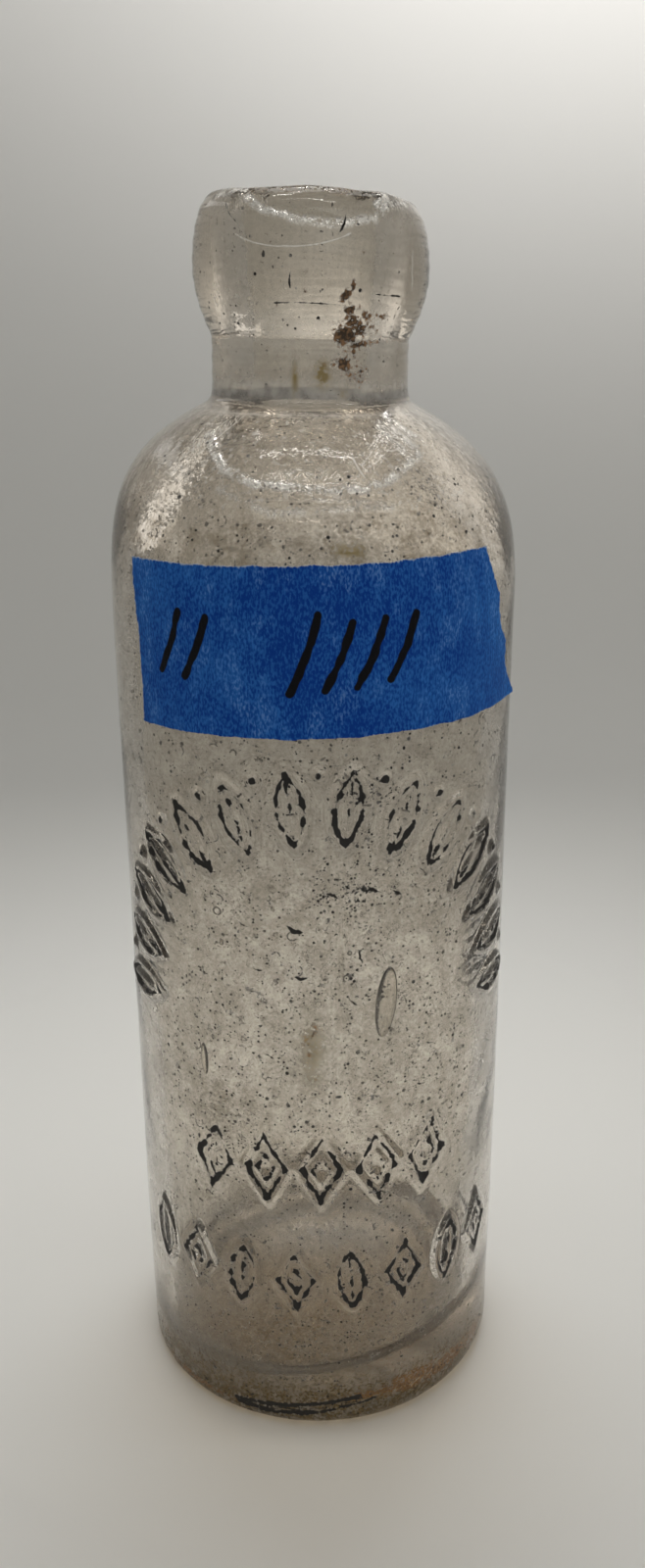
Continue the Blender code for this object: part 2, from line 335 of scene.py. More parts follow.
SEAM_ACROSS = 2.9
SEAM_RISE = 0.16
SEAM_FOOT = 60
SEAM_TOP = 118
on_seam = ((height > SEAM_FOOT) & (height < SEAM_TOP))[:, None]
seam = SEAM_RISE * np.exp(-(((across - SEAM_ACROSS) / 0.5) ** 2)) * on_seam
play = np.where(is_cavity[:, None], inner_play, outer_play + relief + seam)
play = np.where(is_underside[:, None], 0.0, play)
flat_foot = (height < 0.3)[:, None]
play = np.where(flat_foot, 0, play)
radial = np.stack([np.sin(turn_angle), -np.cos(turn_angle), np.zeros(grid)], axis=2)
place = place + radial * play[:, :, None]
rim_play = 0.16 * np.sin(3 * turn_angle + 0.6) + 0.10 * np.sin(7 * turn_angle + 2.0) + 0.06 * quick
place[:, :, 2] += rim_play * eased(height, 187, 191)[:, None]
place[:, :, 2] -= lean[:, None] * place[:, :, 0]
place[:, :, 0] += neck_shift(place[:, :, 2])


def ring_sides(rings, columns):
    """Four-sided faces between rings of points: a point, the same one a ring on, and their neighbours."""
    ring, column = np.meshgrid(np.arange(rings - 1) * columns, np.arange(columns), indexing="ij")
    beside = (column + 1) % columns
    corners_in_order = [ring + column, ring + columns + column, ring + columns + beside, ring + beside]
    return np.stack(corners_in_order, axis=-1).reshape(-1, 4)


def fan(pole, first, columns):
    """Triangles from a pole to each point and its neighbour of the ring that starts with the first."""
    column = np.arange(columns)
    return np.stack([np.full(columns, pole), first + column, first + (column + 1) % columns], axis=1)


rings = len(radius) - 2
surface_count = rings * COLUMNS + 2
points = np.vstack([place[1:-1].reshape(-1, 3), place[:1, 0], place[-1:, 0]])
faces = [
    ring_sides(rings, COLUMNS).tolist(),
    fan(surface_count - 2, 0, COLUMNS).tolist(),
    fan(surface_count - 1, (rings - 1) * COLUMNS, COLUMNS)[:, ::-1].tolist(),
]

# Bubbles in the wall: angle, radius and height of the middle, half sizes across, through and up, and lean
BUBBLE_RINGS = 15
BUBBLE_COLUMNS = 20
bubbles = [
    (20.0, 29.2, 78.5, 1.65, 0.55, 5.8, 0.10),
    (-35.8, 29.3, 67.1, 0.65, 0.4, 2.7, -0.05),
    (-28.0, 29.4, 88.0, 0.3, 0.25, 0.5, 0.0),
    (12.0, 29.0, 60.0, 0.25, 0.25, 0.5, 0.2),
]


def bubble(middle_angle, middle_radius, middle_height, across_half, through_half, tall_half, tilt):
    """A closed hollow in the wall: an ellipsoid by two angles, facing in, leaning by tilt."""
    from_top = np.arange(1, BUBBLE_RINGS + 1) / (BUBBLE_RINGS + 1) * math.pi
    round_about = np.arange(BUBBLE_COLUMNS) / BUBBLE_COLUMNS * 2 * math.pi
    u, v = np.meshgrid(from_top, round_about, indexing="ij")
    side = np.append(np.sin(u) * np.cos(v) * across_half, (0, 0))
    up = np.append(np.cos(u) * tall_half, (tall_half, -tall_half))
    out = np.append(np.sin(u) * np.sin(v) * through_half, (0, 0))
    side, up = side * math.cos(tilt) + up * math.sin(tilt), up * math.cos(tilt) - side * math.sin(tilt)
    far, bend = middle_radius + out, math.radians(middle_angle) + side / middle_radius
    return np.stack([far * np.sin(bend), -far * np.cos(bend), middle_height + up], axis=1)


pole = BUBBLE_RINGS * BUBBLE_COLUMNS
bubble_faces = [
    ring_sides(BUBBLE_RINGS, BUBBLE_COLUMNS)[:, ::-1],
    fan(pole, 0, BUBBLE_COLUMNS)[:, [0, 2, 1]],
    fan(pole + 1, pole - BUBBLE_COLUMNS, BUBBLE_COLUMNS),
]
for sizes in bubbles:
    faces += [(part + len(points)).tolist() for part in bubble_faces]
    points = np.vstack([points, bubble(*sizes)])
glass_mesh = bpy.data.meshes.new("glass_bottle_looks")
glass_mesh.from_pydata((points * MM).tolist(), [], [face for part in faces for face in part])
glass_mesh.shade_smooth()


def stored(mesh, name, values, filler):
    """Keeps one number for each point of the grid, and the filler for the two poles and the bubbles."""
    attribute = mesh.attributes.new(name, "FLOAT", "POINT")
    flat = np.full(len(mesh.vertices), filler, np.float32)
    flat[: surface_count - 2] = np.broadcast_to(values, grid)[1:-1].ravel()
    attribute.data.foreach_set("value", flat)


def patch(at_angle, at_height, wide, tall, power=2.0):
    """Soft spot on the unrolled outside: e to the minus (x/wide)^p + (y/tall)^p."""
    x = reach * (turn_angle - math.radians(at_angle))
    return np.exp(-(np.abs(x / wide) ** power) - np.abs((level - at_height) / tall) ** power)


def scars(lines):
    """Signed distance from the nearest fine line on the unrolled outside, and how near its stretch is.

    A line goes from (angle, height) to (angle, height), sags by so much in its middle, and has a weight.
    """
    distance, nearness = np.full(grid, 9.0), np.zeros(grid)
    for (angle0, height0), (angle1, height1), sag, weight in lines:
        run = reach * math.radians(angle1 - angle0)
        aside_x = reach * (turn_angle - math.radians(angle0))
        length = np.hypot(run, height1 - height0) + 0.001
        share = (aside_x * run + (level - height0) * (height1 - height0)) / length**2
        off = ((level - height0) * run - aside_x * (height1 - height0)) / length
        off = off + sag * (1 - np.clip(2 * share - 1, -1.3, 1.3) ** 2)
        beyond = np.maximum(np.abs(share - 0.5) - 0.5, 0) * length
        near = weight * np.exp(-(beyond**2) / 0.10 - off**2 / 0.8)
        distance, nearness = np.where(near > nearness, off, distance), np.maximum(near, nearness)
    return distance, nearness


def spots(places):
    """The strongest of many soft spots, each given as angle, height, half width, half height and weight."""
    return np.maximum.reduce([patch(*place_and_size) * weight for *place_and_size, weight in places])


# What the ground left on the outside: rust, yellow salts, ochre and dark soil
is_outside = ~is_cavity[:, None] & ~is_underside[:, None]
rust = spots(
    [
        (19.6, 179.4, 0.45, 1.0, 0.9),
        (16.4, 177.8, 0.8, 1.0, 1.0),
        (19.5, 176.3, 1.5, 1.0, 0.85),
        (22.0, 174.8, 1.4, 1.2, 1.0),
        (29.5, 175.4, 1.6, 0.7, 0.8),
        (38.0, 175.4, 1.5, 0.5, 0.8),
        (18.5, 172.9, 2.0, 1.5, 1.15),
        (27.0, 171.8, 2.7, 0.55, 1.0),
        (24.5, 170.5, 0.5, 1.0, 1.0),
        (18.5, 169.2, 1.7, 1.1, 1.0),
        (22.5, 168.3, 1.7, 0.7, 0.85),
        (29.0, 168.0, 1.9, 1.3, 0.8),
        (26.4, 166.9, 1.6, 0.9, 0.70),
        (7.8, 168.6, 0.5, 0.8, 0.55),
        (27.0, 173.6, 3.6, 2.4, 0.62),
        (22.0, 170.5, 3.0, 4.0, 0.42),
        (-1.2, 76.5, 1.1, 1.8, 0.48),
        (-2.6, 71.2, 0.9, 1.3, 0.44),
    ]
)
yellowed = spots(
    [
        (6.8, 167.9, 1.4, 2.0, 1.3),
        (-8.3, 167.3, 0.6, 2.6, 1.05),
        (18.0, 165.2, 1.0, 0.8, 0.7),
        (49.0, 44.0, 3.6, 5.0, 0.45),
        (-1.5, 72.0, 2.2, 6.5, 0.74),
    ]
)
yellowed = np.maximum(yellowed, patch(9.0, 146.1, 2.4, 0.9, power=3.0) * 1.1)
ochre = spots(
    [
        (15.0, 5.9, 5.0, 1.3, 1.05),
        (30.0, 5.8, 7.0, 2.0, 1.2),
        (45.0, 5.0, 8.0, 2.2, 1.2),
        (60.0, 4.8, 7.0, 2.4, 1.0),
        (47.0, 13.0, 4.0, 3.0, 0.35),
        (-45.0, 3.2, 12.0, 0.70, 1.2),
        (20.0, 19.0, 0.7, 2.6, 0.5),
        (-3.4, 73.6, 1.1, 1.7, 0.52),
        (-0.6, 67.2, 0.8, 1.3, 0.52),
    ]
)
soil = spots(
    [
        (12.3, 98.0, 3.2, 2.6, 1.20),
        (11.0, 97.0, 7.0, 5.0, 0.85),
        (3.0, 96.0, 3.0, 2.0, 1.05),
        (20.0, 97.5, 2.2, 2.2, 1.15),
        (10.0, 97.0, 9.0, 9.0, 0.60),
        (15.0, 112.0, 8.0, 6.0, 0.70),
        (28.0, 110.0, 5.0, 4.0, 0.45),
        (4.0, 84.0, 13.0, 12.0, 0.38),
        (-14.0, 60.0, 16.0, 12.0, 0.40),
        (22.0, 42.0, 12.0, 5.0, 0.50),
        (-30.0, 148.0, 12.0, 5.0, 0.34),
        (36.0, 64.0, 10.0, 14.0, 0.42),
        (35.0, 152.0, 7.0, 4.0, 0.40),
        (-40.0, 176.0, 5.0, 3.0, 0.40),
    ]
)
scattered = 0.03 + 0.05 * (1 - eased(level, 184, 187)) + 0.06 * (1 - eased(level, 150, 170))
scattered = scattered + 0.16 * (1 - eased(level, 55, 105))
soil = np.maximum.reduce([soil, scattered, 0.46 * (1 - eased(level, 4, 12))])

# Worn haze, thickest at the heel, round the shoulder and in patches, and a band of painted shade on the
# shoulder
facing = 0.25 + 0.75 * eased(np.cos(turn_angle), -0.2, 0.5)
inner_film = 0.30 + 0.25 * (1 - eased(level, 12, 20)) * facing - 0.20 * eased(level, 150, 164)
outer_film = 0.44 - 0.22 * eased(level, 145, 166) + 0.34 * (1 - eased(level, 5, 17)) * facing
haze_and_painted_shade = np.where(is_cavity[:, None], inner_film, np.where(is_underside[:, None], 0.55 * facing, outer_film))
haze_and_painted_shade = haze_and_painted_shade + 0.50 * np.exp(-(((level - 147.0) / 6.5) ** 2)) * is_outside
haze_and_painted_shade = haze_and_painted_shade + 0.14 * eased(level, 40, 60) * (1 - eased(level, 95, 118)) * is_outside
# A darker band high on the shoulder, on the side towards the camera only: painted shade.
painted_shade_towards_us = eased(np.cos(turn_angle), 0.3, 0.9)
haze_and_painted_shade = haze_and_painted_shade + 0.36 * np.exp(-(((level - 158.5) / 2.6) ** 2)) * painted_shade_towards_us * is_outside
for *place_and_size, weight in (
    (0.0, 147.5, 10.0, 3.6, 0.40),
    (31.0, 149.5, 5.0, 4.0, 0.36),
    (-31.0, 42.0, 6.0, 6.0, 0.50),
    (-29.0, 61.0, 6.0, 5.0, 0.40),
):
    haze_and_painted_shade = haze_and_painted_shade + patch(*place_and_size) * weight * is_outside
haze_and_painted_shade = np.maximum(haze_and_painted_shade, patch(10.0, 97.0, 11.0, 12.0) * 0.6 * is_outside)
haze_and_painted_shade = np.maximum(haze_and_painted_shade, patch(36.0, 62.0, 10.0, 40.0) * 0.6 * is_outside)

# Pitted glass with pale grains that are partly painted sparkle, chalky bands that are mostly painted light,
# and the frosted edge of the mouth
near_mouth = ((1 - eased(radius, 14.0, 15.6)) * (height > 180))[:, None]
mouth_edge = eased(level, 184.5, 187.5) * near_mouth
LEAST_PITTED = 0.06
pitted = spots([(-45.0, 177.0, 4.5, 4.0, 0.6), (38.0, 174.5, 4.0, 3.0, 0.6), (34.0, 158.5, 5.0, 2.8, 1.0)])
pitted = np.maximum(pitted, 0.45 * eased(level, 148, 152) * (1 - eased(level, 161.5, 163.5)))
pitted = np.maximum.reduce([pitted, 0.22 * mouth_edge, np.full(grid, LEAST_PITTED)])
in_front = eased(np.cos(turn_angle), 0.3, 0.8)
# Pale bands, mostly painted light: a worn pale ring at the neck's root that also lightens its shade, a
# painted highlight line just below it in front only, a painted glow low on the lip, and a painted
# lightening low on the front of the body.
chalk_and_painted_light = np.maximum.reduce(
    [
        0.60 * np.exp(-(((level - 165.7) / 1.8) ** 2)),
        0.60 * np.exp(-(((level - 162.4) / 0.30) ** 2)) * in_front,
        0.40 * np.exp(-(((level - 173.6) / 2.6) ** 2)),
        0.36 * patch(1.0, 40.5, 18.0, 5.5),
    ]
)
chalk_and_painted_light = chalk_and_painted_light * is_outside
frost = np.maximum(
    np.exp(-(((level - 187.6) / 0.9) ** 2)) * (radius < 12)[:, None],
    0.8 * np.exp(-(((level - 190.8) / 0.8) ** 2)) * (radius < 15)[:, None],
)

# Fine lines: dark cracks and scratches, pale scratches, and painted highlight lines at the mouth and round
# the shoulder
dark_lines = [
    ((-17.4, 176.8), (15.6, 176.7), -0.15, 0.40),
    ((32.8, 178.3), (46.6, 178.2), 0.05, 0.55),
    ((-9.5, 180.4), (-9.8, 178.9), 0.1, 0.6),
    ((48.8, 176.8), (47.2, 175.5), 0.2, 0.55),
    ((-46.0, 189.0), (-38.5, 187.0), 0.2, 0.45),
    ((-38.5, 187.0), (-34.5, 185.0), -0.3, 0.42),
    ((12.8, 185.8), (15.7, 187.6), 0.1, 0.65),
    ((-28.1, 3.9), (11.9, 6.0), 0.2, 1.9),
    ((-27.0, 3.1), (-16.0, 3.3), 0.1, 1.5),
    ((-20.0, 2.8), (-3.0, 3.6), 0.1, 1.7),
    ((-8.0, 2.9), (4.0, 3.8), 0.0, 1.5),
    ((6.0, 4.2), (17.0, 4.9), 0.1, 1.4),
    ((-7.2, 92.1), (-4.6, 91.5), 0.20, 1.50),
    ((-5.3, 84.1), (-3.3, 84.1), 0.16, 1.10),
    ((-21.2, 92.2), (-19.6, 91.8), 0.14, 0.85),
    ((-17.2, 85.0), (-15.6, 84.9), 0.12, 0.80),
    ((-22.1, 68.1), (-20.8, 68.3), 0.12, 0.80),
    ((11.4, 88.0), (11.9, 86.6), 0.15, 1.00),
    ((-14.4, 70.8), (-13.2, 70.5), -0.12, 0.80),
    ((9.4, 79.9), (10.4, 79.5), 0.10, 0.80),
    ((32.4, 70.5), (34.0, 70.2), 0.12, 0.80),
    ((29.8, 63.7), (31.2, 63.5), 0.12, 0.80),
    ((14.4, 97.9), (16.2, 97.3), 0.12, 1.40),
    ((21.2, 96.9), (22.4, 96.5), 0.10, 1.20),
    ((3.4, 97.4), (5.0, 97.0), -0.10, 1.15),
]
light_lines = [
    ((-36.2, 185.1), (-11.5, 183.8), 0.45, 0.8),
    ((-11.5, 183.8), (17.0, 185.6), 0.5, 0.75),
    ((-45.0, 160.6), (-43.3, 157.2), 0.1, 0.6),
    ((13.3, 157.4), (15.2, 155.4), 0.1, 1.2),
    ((55.0, 183.9), (56.0, 179.4), 0.3, 1.0),
    ((-47.5, 157.0), (-38.5, 162.0), 0.1, 0.55),
    ((-44.5, 156.6), (-36.2, 162.2), 0.1, 0.80),
    ((-41.6, 157.2), (-33.5, 162.3), 0.1, 0.60),
    ((-38.8, 157.2), (-30.5, 162.2), 0.1, 0.75),
]
# Painted highlights: pale lines along the far rim of the mouth as seen through the lip, and along the
# shoulder where the lamps are mirrored.
painted_glint_lines = [
    ((-58.0, 190.4), (-38.0, 190.8), 0.0, 0.75),
    ((40.0, 189.6), (58.0, 190.4), 0.0, 0.75),
    ((-38.0, 190.8), (-24.0, 188.2), 0.0, 1.3),
    ((-24.0, 188.2), (-9.0, 187.2), -0.15, 1.2),
    ((-9.0, 187.2), (7.6, 186.8), 0.0, 1.1),
    ((7.6, 186.8), (18.0, 187.1), 0.0, 1.3),
    ((18.0, 187.1), (31.0, 187.7), -0.10, 1.2),
    ((31.0, 187.7), (40.0, 189.6), 0.0, 1.3),
    ((33.0, 189.3), (43.0, 190.7), 0.0, 1.2),
    ((-40.0, 160.0), (-27.0, 155.8), -0.2, 1.5),
    ((-27.0, 155.8), (-16.0, 154.1), -0.1, 1.5),
    ((-16.0, 154.1), (0.0, 153.6), -0.1, 1.3),
    ((0.0, 153.6), (14.0, 153.7), 0.0, 1.3),
    ((14.0, 153.7), (23.0, 154.7), 0.0, 1.1),
    ((23.0, 154.7), (38.0, 157.8), -0.2, 1.1),
    ((-27.0, 153.4), (-10.0, 150.6), 0.0, 0.6),
    ((-10.0, 150.6), (22.0, 151.5), -0.2, 0.6),
    ((28.0, 161.4), (33.0, 158.4), 0.1, 0.9),
    ((33.0, 162.0), (38.0, 158.6), 0.1, 0.9),
    ((38.0, 161.8), (43.0, 159.4), 0.1, 0.9),
]
painted_glint_offset, painted_glint_near = scars(painted_glint_lines)
dark_scar, dark_near = scars(dark_lines)
light_scar, light_near = scars(light_lines)
for name, values, filler in (
    ("outline", np.where(is_body, outline_distance + RESIDUE_INSIDE, 5), 5),
    ("rib", np.where(is_body, rib_distance, 5), 5),
    ("clogged", clogged * is_body, 0),
    ("rust", rust * is_outside, 0),
    ("yellowed", yellowed * is_outside, 0),
    ("ochre", ochre * is_outside, 0),
    ("soil", soil * is_outside + 0.30 * is_cavity[:, None] * (1 - eased(level, 140, 165)), 0),
    ("haze_and_painted_shade", haze_and_painted_shade, 0),
    ("pitted", pitted, 0),
    ("chalk_and_painted_light", chalk_and_painted_light, 0),
    ("frost", frost, 0),
    ("dark_scar", dark_scar, 9),
    ("dark_near", dark_near * is_outside, 0),
    ("light_scar", light_scar, 9),
    ("light_near", light_near * is_outside, 0),
    ("painted_glint_offset", painted_glint_offset, 9),
    ("painted_glint_near", painted_glint_near * is_outside, 0),
):
    stored(glass_mesh, name, values, filler)


def grown(tree, kind, inputs=None, **settings):
    """Adds a node, gives it its settings, and feeds its inputs with numbers or with other outputs."""
    node = tree.nodes.new(kind)
    for name, value in settings.items():
        setattr(node, name, value)
    for key, value in (inputs or {}).items():
        if isinstance(value, bpy.types.NodeSocket):
            tree.links.new(value, node.inputs[key])
        else:
            node.inputs[key].default_value = value
    return node


def sum_up(tree, operation, *values, clamp=False):
    """One step of arithmetic on numbers or outputs."""
    node = grown(tree, "ShaderNodeMath", dict(enumerate(values)), operation=operation, use_clamp=clamp)
    return node.outputs[0]


def times(tree, first, second, clamp=False):
    """The product of two numbers or outputs."""
    return sum_up(tree, "MULTIPLY", first, second, clamp=clamp)


def scaled(tree, value, factor, plus, clamp=False):
    """A value times a factor, plus a number."""
    return sum_up(tree, "MULTIPLY_ADD", value, factor, plus, clamp=clamp)


def most(tree, first, *others):
    """The greatest of several numbers or outputs."""
    for other in others:
        first = sum_up(tree, "MAXIMUM", first, other)
    return first


def left_over(tree, share):
    """What a share leaves of the whole: 1 minus the share."""
    return sum_up(tree, "SUBTRACT", 1.0, share)


def blended(tree, share, first, second):
    """Colour that goes from first to second as share goes from 0 to 1."""
    node = grown(tree, "ShaderNodeMix", data_type="RGBA")
    for socket, value in zip((node.inputs[0], node.inputs[6], node.inputs[7]), (share, first, second)):
        if isinstance(value, bpy.types.NodeSocket):
            tree.links.new(value, socket)
        else:
            socket.default_value = value
    return node.outputs[2]


def over(tree, value, threshold, softness):
    """0 where the value is under the threshold and 1 where it is over, with a soft edge."""
    return sum_up(tree, "DIVIDE", sum_up(tree, "SUBTRACT", value, threshold), softness, clamp=True)


def noise(tree, vector, scale, detail=3.0, distortion=0.0):
    """Cloudy noise with this many features to a metre."""
    node = grown(
        tree,
        "ShaderNodeTexNoise",
        {"Vector": vector, "Scale": scale, "Detail": detail, "Distortion": distortion},
    )
    return node.outputs[0]


def attribute(tree, name):
    """A number kept on the mesh's points."""
    return grown(tree, "ShaderNodeAttribute", attribute_name=name).outputs["Fac"]


def specks(tree, vector, waver, scale, share, smallest, largest):
    """Uneven round specks, one to a cell, kept where a draw is under the share, sized by another draw."""
    cells = grown(tree, "ShaderNodeTexVoronoi", {"Vector": vector, "Scale": scale})
    draw = grown(tree, "ShaderNodeSeparateColor", {0: cells.outputs["Color"]})
    size = times(tree, draw.outputs[1], draw.outputs[1])
    size = scaled(tree, size, largest - smallest, smallest)
    uneven = scaled(tree, waver, 0.36, cells.outputs["Distance"])
    speck = over(tree, sum_up(tree, "ADD", size, 0.18), uneven, 0.06)
    return times(tree, speck, over(tree, share, draw.outputs[0], 0.02))


GLASS_TINT = (0.93, 0.905, 0.86, 1)
SOIL_COLOUR = (0.006, 0.0045, 0.0035, 1)
FILM_TINT = (0.36, 0.31, 0.235, 1)
OLIVE_FILM_TINT = (0.31, 0.235, 0.085, 1)
SILT_COLOUR = (0.215, 0.142, 0.044, 1)
DARK_RUST_COLOUR = (0.050, 0.030, 0.016, 1)
ORANGE_RUST_COLOUR = (0.27, 0.145, 0.065, 1)
YELLOW_COLOUR = (0.30, 0.225, 0.085, 1)
OCHRE_COLOUR = (0.32, 0.155, 0.045, 1)
PALE_WEAR_AND_PAINTED_LIGHT_COLOUR = (0.96, 0.93, 0.87, 1)
HEEL_SHADE = (0.36, 0.315, 0.235, 1)
BODY_SHADE = (0.82, 0.80, 0.76, 1)
THICK_GLASS_TINT = (0.91, 0.88, 0.84, 1)
TINT_DENSITY = 100.0
IOR = 1.52

# Features to a metre of the noises and cells that the marks are made from
FINE_PACE = 1900
RAGGED_PACE = 620
BLOTCHY_PACE = 300
PATCHY_PACE = 90
GLINT_PACE = 1100
FLAKE_PACE = 2600
SMALL_SPECK_PACE = 1050
BRUISE_PACE = 260.0
TRACK_PACE = 480

glass = bpy.data.materials.new("aged_soda_glass")
glass.use_nodes = True
tree = glass.node_tree
shader = tree.nodes["Principled BSDF"]
shader.inputs["IOR"].default_value = IOR
at = grown(tree, "ShaderNodeTexCoord").outputs["Object"]
fine = noise(tree, at, FINE_PACE, 4)
ragged = noise(tree, at, RAGGED_PACE, 4)
_, at_depth, at_height = grown(tree, "ShaderNodeSeparateXYZ", {0: at}).outputs
blotchy = noise(tree, at, BLOTCHY_PACE, 4)
patchy = noise(tree, at, PATCHY_PACE, 3)
crumbly = scaled(tree, fine, 0.55, times(tree, ragged, 0.45))

# Soil: fine and coarse specks in clusters, broken rings where it was bruised, lines in the creases
soil_share = attribute(tree, "soil")
clustered = times(tree, soil_share, over(tree, blotchy, 0.40, 0.16))
tiny = specks(tree, at, fine, FINE_PACE, scaled(tree, clustered, 0.92, 0.025), 0.16, 0.48)
small = specks(tree, at, fine, SMALL_SPECK_PACE, scaled(tree, clustered, 0.62, 0.004), 0.10, 0.38)
peppered = over(tree, crumbly, scaled(tree, soil_share, -0.18, 0.70), 0.04)
cells = grown(tree, "ShaderNodeTexVoronoi", {"Vector": at, "Scale": BRUISE_PACE})
cell = grown(tree, "ShaderNodeSeparateColor", {0: cells.outputs["Color"]})
ring_size = scaled(tree, cell.outputs[1], 0.16, 0.08)
ring_gap = sum_up(tree, "ABSOLUTE", sum_up(tree, "SUBTRACT", cells.outputs["Distance"], ring_size))
bruise = over(tree, 0.030, ring_gap, 0.018)
bruise = times(tree, bruise, over(tree, ragged, 0.53, 0.03))
bruised_share = scaled(tree, soil_share, 0.7, 0.3)
bruise = times(tree, bruise, over(tree, bruised_share, cell.outputs[0], 0.02))
wander = sum_up(tree, "ABSOLUTE", sum_up(tree, "SUBTRACT", noise(tree, at, TRACK_PACE, 2), 0.5))
track = times(tree, over(tree, 0.020, wander, 0.010), over(tree, ragged, 0.60, 0.03))
track = times(tree, track, over(tree, patchy, 0.42, 0.10))
on_body = left_over(tree, over(tree, at_height, 0.150, 0.008))
track = times(tree, track, on_body)
bruise = times(tree, bruise, on_body)
gathered = over(tree, patchy, 0.40, 0.10)
width = scaled(tree, ragged, 2.2, -0.95)
width = scaled(tree, gathered, 0.16, width)
width = scaled(tree, attribute(tree, "clogged"), 0.30, width)
line = over(tree, width, sum_up(tree, "ABSOLUTE", attribute(tree, "outline")), 0.08)
rib_width = scaled(tree, ragged, 1.9, -0.72)
rib_line = over(tree, rib_width, attribute(tree, "rib"), 0.08)
scar_width = scaled(tree, crumbly, 1.6, -0.66)
scar_width = scaled(tree, attribute(tree, "dark_near"), 0.10, scar_width)
scar_width = times(tree, scar_width, attribute(tree, "dark_near"))
scar = over(tree, scar_width, sum_up(tree, "ABSOLUTE", attribute(tree, "dark_scar")), 0.06)
residue = most(tree, line, rib_line, scar)
marks = most(tree, tiny, small, peppered)
marks = times(tree, marks, scaled(tree, ragged, 1.6, 0.15), clamp=True)
heel = left_over(tree, over(tree, at_height, 0.0060, 0.0080))
flecked = times(tree, over(tree, fine, 0.53, 0.05), times(tree, heel, 0.55))
marks = most(tree, marks, times(tree, bruise, 0.9), times(tree, track, 0.7), flecked)
dark = most(tree, marks, residue)

# Crusts and films: rust, yellow salts, ochre and silt at the heel, worn haze, chalk that is mostly painted
# light, and painted highlight lines
rust_share = over(tree, crumbly, scaled(tree, attribute(tree, "rust"), -0.36, 0.65), 0.09)
rust_colour = blended(tree, over(tree, fine, 0.46, 0.16), DARK_RUST_COLOUR, ORANGE_RUST_COLOUR)
yellow_crumbs = over(tree, crumbly, 0.28, 0.22)
yellow_share = times(tree, attribute(tree, "yellowed"), yellow_crumbs, clamp=True)
ochre_share = over(tree, crumbly, scaled(tree, attribute(tree, "ochre"), -0.32, 0.66), 0.12)
ochre_depth = scaled(tree, over(tree, fine, 0.42, 0.12), 0.50, 0.42)
ochre_share = times(tree, ochre_share, ochre_depth)
scratch = times(tree, attribute(tree, "light_near"), scaled(tree, fine, 0.5, -0.08))
scratch = over(tree, scratch, sum_up(tree, "ABSOLUTE", attribute(tree, "light_scar")), 0.08)
grain = scaled(tree, over(tree, fine, 0.36, 0.28), 0.70, -0.44)
grain = scaled(tree, over(tree, blotchy, 0.38, 0.24), 0.65, grain)
grain = scaled(tree, over(tree, patchy, 0.36, 0.28), 0.40, grain, clamp=True)
haze_and_shade_share = times(tree, attribute(tree, "haze_and_painted_shade"), grain, clamp=True)
pitted = attribute(tree, "pitted")
glint = noise(tree, at, GLINT_PACE, 2)
# Pale grains where the glass is pitted: partly frosted pits, partly painted sparkle.
frost_and_painted_sparkle = over(tree, glint, scaled(tree, pitted, -0.10, 0.66), 0.03)
frost_and_painted_sparkle = times(tree, frost_and_painted_sparkle, times(tree, pitted, 0.9), clamp=True)
# Painted highlight lines, made into a bumped ridge with pale grains and metallic flakes along it.
ridge = over(tree, 0.85, sum_up(tree, "ABSOLUTE", attribute(tree, "painted_glint_offset")), 0.70)
ridge = times(tree, ridge, attribute(tree, "painted_glint_near"))
painted_glint = times(tree, ridge, over(tree, crumbly, 0.42, 0.12), clamp=True)
flakes = times(tree, painted_glint, over(tree, noise(tree, at, FLAKE_PACE, 2), 0.42, 0.10), clamp=True)
chalky_and_painted_light = scaled(tree, over(tree, ragged, 0.28, 0.34), 0.5, 0.45)
chalky_and_painted_light = times(tree, attribute(tree, "chalk_and_painted_light"), chalky_and_painted_light)
# Pale share: scratches and frost, with painted sparkle, painted highlight lines and painted light in it.
pale = most(tree, frost_and_painted_sparkle, times(tree, scratch, 0.8), times(tree, painted_glint, 0.90), chalky_and_painted_light)
etched = times(tree, attribute(tree, "frost"), over(tree, crumbly, 0.42, 0.10))

# Silt on the heel, most on its front
silt = scaled(tree, over(tree, crumbly, 0.42, 0.14), 0.44, 0.44)
silt = times(tree, heel, silt)
towards_front = over(tree, times(tree, at_depth, -1.0), -0.012, 0.024)
silt = times(tree, silt, scaled(tree, towards_front, 0.7, 0.3))

# Colour: each layer lies over the one before it, from the clear glass up to the soil
film_tint = blended(tree, over(tree, at_height, 0.006, 0.022), OLIVE_FILM_TINT, FILM_TINT)
colour = blended(tree, haze_and_shade_share, GLASS_TINT, film_tint)
colour = blended(tree, times(tree, silt, 1.3, clamp=True), colour, SILT_COLOUR)
# Pale wear, partly painted highlights and painted light.
colour = blended(tree, pale, colour, PALE_WEAR_AND_PAINTED_LIGHT_COLOUR)
colour = blended(tree, ochre_share, colour, OCHRE_COLOUR)
colour = blended(tree, yellow_share, colour, YELLOW_COLOUR)
colour = blended(tree, rust_share, colour, rust_colour)
colour = blended(tree, dark, colour, SOIL_COLOUR)

